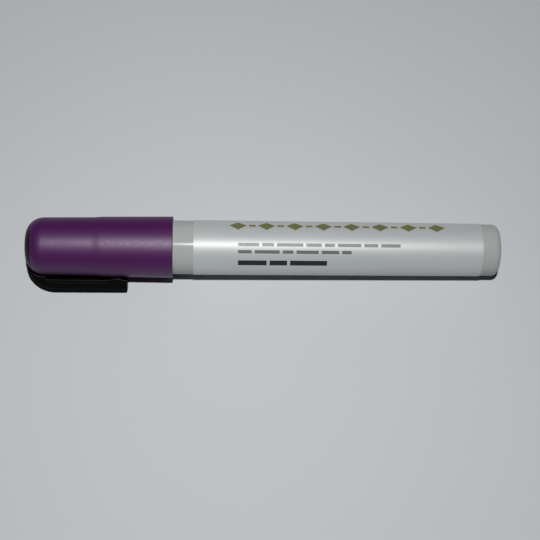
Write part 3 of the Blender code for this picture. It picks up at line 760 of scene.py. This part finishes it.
def make_front_holder(material):
    """The nose section, with its seal grooves and the channel that guides the nib."""
    flange_rear = BARREL_LENGTH + PRESS_GAP
    flange_front = flange_rear + FLANGE_LENGTH
    flange_radius = BARREL_FRONT_RADIUS - FLANGE_STEP
    land_radius = LINER_BORE - SLIDE_GAP
    land_front = flange_front + LAND_LENGTH
    nose_rear = land_front + CONE_LENGTH
    nose_front = nose_rear + NOSE_LENGTH
    guide_rear = nose_front - GUIDE_LENGTH
    nib_room = hypot(NIB_WIDTH, NIB_THICKNESS) / 2 + SLIDE_GAP
    nose_radius = nib_room + NOSE_WALL
    plug_radius = BARREL_FRONT_RADIUS - BARREL_WALL - PRESS_GAP
    plug_rear = BARREL_LENGTH - PLUG_LENGTH
    bore_radius = plug_radius - HOLDER_WALL
    shoulder = BARREL_LENGTH + VALVE_DEPTH
    profile = [
        (nose_front, 0),
        *arc((nose_front - NOSE_LIP_RADIUS, nose_radius - NOSE_LIP_RADIUS), NOSE_LIP_RADIUS, pi / 2, 0),
        (nose_rear, nose_radius),
        (land_front, land_radius),
        (flange_front, land_radius),
        *arc((flange_front - RIM_RADIUS, flange_radius - RIM_RADIUS), RIM_RADIUS, pi / 2, 0),
        (flange_rear, flange_radius),
        (flange_rear, plug_radius),
    ]
    for i in range(SEAL_GROOVES):
        top = BARREL_LENGTH - SEAL_GROOVE_PITCH * (i + 1) + SEAL_GROOVE_WIDTH / 2
        bottom = top - SEAL_GROOVE_WIDTH
        floor = plug_radius - SEAL_GROOVE_DEPTH
        profile += [(top, plug_radius), (top, floor), (bottom, floor), (bottom, plug_radius)]
    profile += [
        *arc((plug_rear + RIM_RADIUS, plug_radius - RIM_RADIUS), RIM_RADIUS, 0, -pi / 2),
        (plug_rear, bore_radius),
        (shoulder, bore_radius),
        (shoulder, nib_room),
        (guide_rear, nib_room),
        (guide_rear, 0),
    ]
    holder = turned("nose_holder", profile)
    ends = (-guide_rear + CUT_MARGIN, -nose_front - CUT_MARGIN)
    channel_size = (
        NIB_THICKNESS + 2 * SLIDE_GAP,
        NIB_WIDTH + 2 * SLIDE_GAP,
        NIB_CORNER_RADIUS + SLIDE_GAP,
    )
    combine(holder, lofted("channel", [bar_loop(x, *channel_size) for x in ends]), "DIFFERENCE")
    even_shading(holder)
    give(holder, "barrel", material, "front_holder")


def make_nib(material):
    """A fibre bar cut to a chisel by a long slope and a short back bevel, its cut edges softened by wear."""
    nib = lofted("nib_chisel", [
        bar_loop(x, NIB_THICKNESS, NIB_WIDTH, NIB_CORNER_RADIUS) for x in (-NIB_REAR, -NIB_TIP)
    ])
    edge_place = Vector((-NIB_TIP, 0, NIB_EDGE - NIB_THICKNESS / 2))
    slope = Vector((-sin(CHISEL_ANGLE), 0, cos(CHISEL_ANGLE)))
    back_bevel = Vector((-sin(CHISEL_BACK_ANGLE), 0, -cos(CHISEL_BACK_ANGLE)))
    shape = bmesh.new()
    shape.from_mesh(nib.data)
    for normal in (slope, back_bevel):
        everything = [*shape.verts, *shape.edges, *shape.faces]
        bmesh.ops.bisect_plane(
            shape, geom=everything, dist=MERGE, plane_co=edge_place, plane_no=normal, clear_outer=True
        )
        bmesh.ops.holes_fill(shape, edges=shape.edges)
    bmesh.ops.recalc_face_normals(shape, faces=shape.faces)
    shape.to_mesh(nib.data)
    shape.free()
    soften(nib, NIB_BEVEL)
    even_shading(nib)
    give(nib, "nib", material, "nib")


def clip_outline():
    """The clip seen from its side, from the dome over the cap's shoulder, along the arm and back."""
    over_shoulder = SHOULDER_RADIUS + CLIP_ROOT_GAP
    underside = arc((SHOULDER_START, SHOULDER_CENTRE), over_shoulder, 0, RIM_ANGLE)
    rim_along, rim_radius = underside[-1]
    corner_centre = CLIP_OUTER_RADIUS - CLIP_CORNER_RADIUS
    corner_reach = CLIP_CORNER_RADIUS - NECK_THICKNESS
    corner_start = rim_along - sqrt(corner_reach**2 - (rim_radius - corner_centre) ** 2)
    corner_angle = atan2(corner_start - DOME_CENTRE, corner_centre)
    neck_dome = CLIP_CORNER_RADIUS + hypot(corner_centre, corner_start - DOME_CENTRE)
    tip_centre = (CLIP_TIP + CLIP_TIP_RADIUS, CLIP_OUTER_RADIUS - CLIP_TIP_RADIUS)
    half_bump = BUMP_LENGTH / 2
    bump_radius = (half_bump**2 + BUMP_HEIGHT**2) / (2 * BUMP_HEIGHT)
    bump_centre = (BUMP_CENTRE, CLIP_INNER_RADIUS - BUMP_HEIGHT + bump_radius)
    bump_sweep = atan2(half_bump, bump_radius - BUMP_HEIGHT)
    return [
        *arc((DOME_CENTRE, 0), neck_dome, acos(SPIGOT_RADIUS / neck_dome), corner_angle)[:-1],
        *arc((corner_start, corner_centre), CLIP_CORNER_RADIUS, corner_angle, 0),
        *arc(tip_centre, CLIP_TIP_RADIUS, 0, -pi / 2),
        (CLIP_TIP, CLIP_INNER_RADIUS),
        *arc(bump_centre, bump_radius, pi + bump_sweep, pi - bump_sweep),
        *arc((CLIP_ROOT - ROOT_FILLET, ROOT_INNER_RADIUS), ROOT_FILLET, 0, pi / 2),
        *underside,
        (rim_along, SPIGOT_RADIUS),
    ]


def groove_loop(side, across, spread):
    """The groove's outline: a slot with round ends, spread a little towards its lips."""
    middle = CLIP_INNER_RADIUS + GROOVE_FROM_EDGE + GROOVE_WIDTH / 2
    low = BUMP_CENTRE + BUMP_LENGTH / 2 + GROOVE_WIDTH / 2
    high = CLIP_ROOT - GROOVE_END_ROOM - GROOVE_WIDTH / 2
    radius = GROOVE_WIDTH / 2 + spread
    outline = arc((high, middle), radius, 0, pi) + arc((low, middle), radius, pi, 2 * pi)
    return [at(along, out, CLIP_ANGLE) + side * across * ACROSS for along, out in outline]


def make_clip(material):
    """The clip and the domed head that closes the cap's end, moulded in one piece."""
    seat_end = POCKET_END + PRESS_GAP
    profile = [
        (PEN_END, 0),
        *arc((DOME_CENTRE, 0), DOME_RADIUS, pi / 2, SHOULDER_END_ANGLE)[1:-1],
        *arc((SHOULDER_START, SHOULDER_CENTRE), SHOULDER_RADIUS, SHOULDER_END_ANGLE, HEAD_EDGE_ANGLE),
        (HEAD_SEAT, SPIGOT_RADIUS),
        (seat_end, SPIGOT_RADIUS),
        (seat_end, 0),
    ]
    clip = turned("cap_clip", profile)
    outline = clip_outline()
    surface = CLIP_WIDTH / 2
    arm = lofted("clip_arm", [
        [at(along, out, CLIP_ANGLE) + side * ACROSS for along, out in outline]
        for side in (-surface, surface)
    ])
    soften(arm, CLIP_EDGE)
    combine(clip, arm, "UNION")
    for side in (-1, 1):
        loops = [groove_loop(side, surface - GROOVE_DEPTH, 0)]
        for i in range(EDGE_SEGMENTS + 1):
            turn = pi / 2 * i / EDGE_SEGMENTS
            across = surface + MERGE - GROOVE_LIP * (1 - sin(turn))
            loops.append(groove_loop(side, across, GROOVE_LIP * (1 - cos(turn))))
        loops.append(groove_loop(side, surface + CUT_MARGIN, GROOVE_LIP))
        combine(clip, lofted("groove", loops), "DIFFERENCE")
    even_shading(clip)
    flatten_sides(clip, ACROSS, surface)
    give(clip, "cap", material, "clip")


# Materials
barrel_grey = moulded(
    "barrel_grey",
    colour=(0.349, 0.364, 0.358),
    shift=0.02,
    roughness=0.19,
    grain=0.03,
    Specular_IOR_Level=0.085,
    Diffuse_Roughness=0.15,
)
cap_violet = moulded(
    "cap_violet",
    colour=(0.053, 0.0045, 0.066),
    shift=0.05,
    roughness=0.48,
    grain=0.20,
    Specular_IOR_Level=0.57,
    Specular_Tint=(0.93, 0.85, 1.0, 1),
)
clip_black = moulded(
    "clip_black",
    colour=(0.002, 0.002, 0.0022),
    shift=0.10,
    roughness=0.33,
    grain=0.05,
    Specular_IOR_Level=0.09,
)
holder_black = moulded(
    "holder_black",
    colour=(0.014, 0.014, 0.015),
    shift=0.08,
    roughness=0.38,
    grain=0.12,
)
natural_plastic = moulded(
    "natural_plastic",
    colour=(0.72, 0.72, 0.69),
    shift=0.03,
    roughness=0.42,
    grain=0.10,
)
film = pearl_film()
fibre = bonded_fibre()
steel = drawn_steel()
fine_ink = print_ink("fine_ink", colour=(0.085, 0.092, 0.095))
bold_ink = print_ink("bold_ink", colour=(0.012, 0.013, 0.014))
olive_ink = print_ink("olive_ink", colour=(0.120, 0.130, 0.045))
ochre_ink = print_ink("ochre_ink", colour=(0.190, 0.120, 0.045))

# Pieces
make_barrel(barrel_grey)
make_label(film)
make_overlap(film)
make_rows("label_fine_rows", FINE_ROWS, fine_ink)
make_rows("label_bold_rows", BOLD_ROWS, bold_ink)
make_band(olive_ink, ochre_ink)
make_cap(cap_violet)
make_liner(natural_plastic)
make_clip(clip_black)
make_front_holder(holder_black)
make_nib(fibre)
for node, body, material, slot in (
    ("valve_body", "barrel", natural_plastic, "natural_plastic"),
    ("valve_cover", "barrel", natural_plastic, "natural_plastic"),
    ("valve_stem", "nib", natural_plastic, "natural_plastic"),
    ("mixing_ball", "ball", steel, "bright_steel"),
):
    give(dressed(node), body, material, node)

# The valve spring, which the nib shortens as it is pressed
spring = dressed("valve_spring")
give(spring, "barrel", steel, "valve_spring")
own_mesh(spring)

# Table, which touches the cap's mouth and the label's tail end
bpy.ops.mesh.primitive_plane_add(size=TABLE_SIZE)
table = bpy.context.object
table.name = "table"
table.rotation_euler.y = -atan2(TABLE_SLOPE, 1)
table.location = (-LABEL_START, 0, -label_radius(LABEL_START))
table.data.materials.append(pale_table())

# Camera
camera_data = bpy.data.cameras.new("camera")
camera_data.sensor_width = SENSOR_WIDTH
camera_data.lens = SENSOR_WIDTH * FOCAL_PIXELS / PHOTO_SIZE
camera = bpy.data.objects.new("camera", camera_data)
camera.location = at(CAMERA_ALONG, CAMERA_DISTANCE, -VIEW_ANGLE)
camera.rotation_mode = "ZYX"
camera.rotation_euler = (VIEW_ANGLE + CAMERA_TILT, CAMERA_PAN, CAMERA_ROLL)
bpy.context.scene.collection.objects.link(camera)
bpy.context.scene.camera = camera

# Light and room
light_data = bpy.data.lights.new("key", "AREA")
light_data.shape = "DISK"
light_data.size = KEY_SIZE
light_data.spread = KEY_SPREAD
light_data.energy = KEY_POWER
light_data.color = KEY_COLOUR
light = bpy.data.objects.new("key", light_data)
light.location = at(KEY_ALONG, KEY_DISTANCE, KEY_FROM_VIEW - VIEW_ANGLE)
light.rotation_euler = (KEY_TARGET - light.location).to_track_quat("-Z", "Y").to_euler()
bpy.context.scene.collection.objects.link(light)
world = bpy.data.worlds.new("room")
world.use_nodes = True
background = world.node_tree.nodes["Background"]
background.inputs["Color"].default_value = ROOM_COLOUR
background.inputs["Strength"].default_value = ROOM_STRENGTH
bpy.context.scene.world = world
bpy.context.scene.view_settings.view_transform = "Standard"
